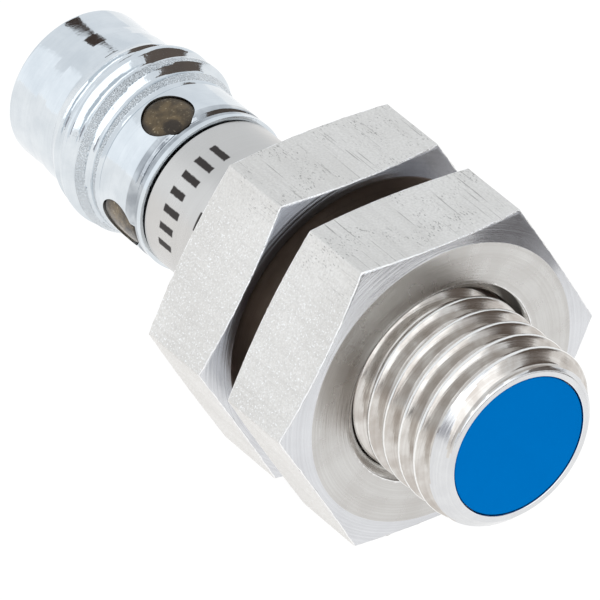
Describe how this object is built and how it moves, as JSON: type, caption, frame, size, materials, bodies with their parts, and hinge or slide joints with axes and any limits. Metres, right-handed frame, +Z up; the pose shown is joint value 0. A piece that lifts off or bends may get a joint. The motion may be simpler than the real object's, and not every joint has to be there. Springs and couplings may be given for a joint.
{
  "type": "inductive proximity sensor",
  "caption": "Short round proximity sensor in a threaded steel sleeve with hexagon mounting nuts, a blue sensing face and a rear plug connector with signal windows.",
  "frame": {"origin": "centre of the sensing face, on the sensor's axis", "axes": "+X out of the sensing face along the axis, -X towards the plug, +Z up square to the flats that the nuts rest on"},
  "size_m": [0.0298, 0.015, 0.013],
  "materials": {
    "sleeve_steel": "satin turned stainless steel",
    "nut_steel": "drawn and turned stainless steel",
    "cap_plastic": "flat matte blue",
    "shield_brass": "drawn",
    "ferrite": "sintered matte",
    "dark_nylon": "moulded",
    "enamelled_copper": "enamelled",
    "board_laminate": "solder mask",
    "chip_epoxy": "moulded epoxy",
    "capacitor_ceramic": "fired ceramic",
    "resistor_film": "glazed film",
    "led_resin": "clear resin",
    "insulating_film": "thin film",
    "casting_resin": "cast resin",
    "bright_plating": "bright nickel plating",
    "seal_rubber": "matte",
    "brown_lens": "translucent brown",
    "gold_plating": "gold plated",
    "tinned_wire": "tinned"
  },
  "bodies": {
    "sensor": {"threaded_sleeve": "sleeve_steel", "sensing_cap": "cap_plastic", "shield_ring": "shield_brass", "ferrite_core": "ferrite", "coil_bobbin": "dark_nylon", "coil_winding": "enamelled_copper", "coil_lead_a": "enamelled_copper", "coil_lead_b": "enamelled_copper", "circuit_board": "board_laminate", "sensor_chip": "chip_epoxy", "output_transistor": "chip_epoxy", "smoothing_capacitor": "capacitor_ceramic", "tuning_resistor": "resistor_film", "protection_diode": "chip_epoxy", "indicator_led_top": "led_resin", "indicator_led_bottom": "led_resin", "insulating_tube": "insulating_film", "resin_filling": "casting_resin", "connector_shell": "bright_plating", "connector_seal": "seal_rubber", "light_ring": "brown_lens", "contact_carrier": "dark_nylon", "contact_pin_1": "gold_plating", "contact_pin_3": "gold_plating", "contact_pin_4": "gold_plating", "link_wire_1": "tinned_wire", "link_wire_3": "tinned_wire", "link_wire_4": "tinned_wire"},
    "front_nut": {"front_nut": "nut_steel"},
    "rear_nut": {"rear_nut": "nut_steel"}
  },
  "joints": [
    {"name": "front_nut_travel", "type": "slide", "parent": "sensor", "child": "front_nut", "axis": [1, 0, 0], "range_m": [0, 0.005]},
    {"name": "rear_nut_travel", "type": "slide", "parent": "sensor", "child": "rear_nut", "axis": [1, 0, 0], "range_m": [0, 0.001]}
  ]
}
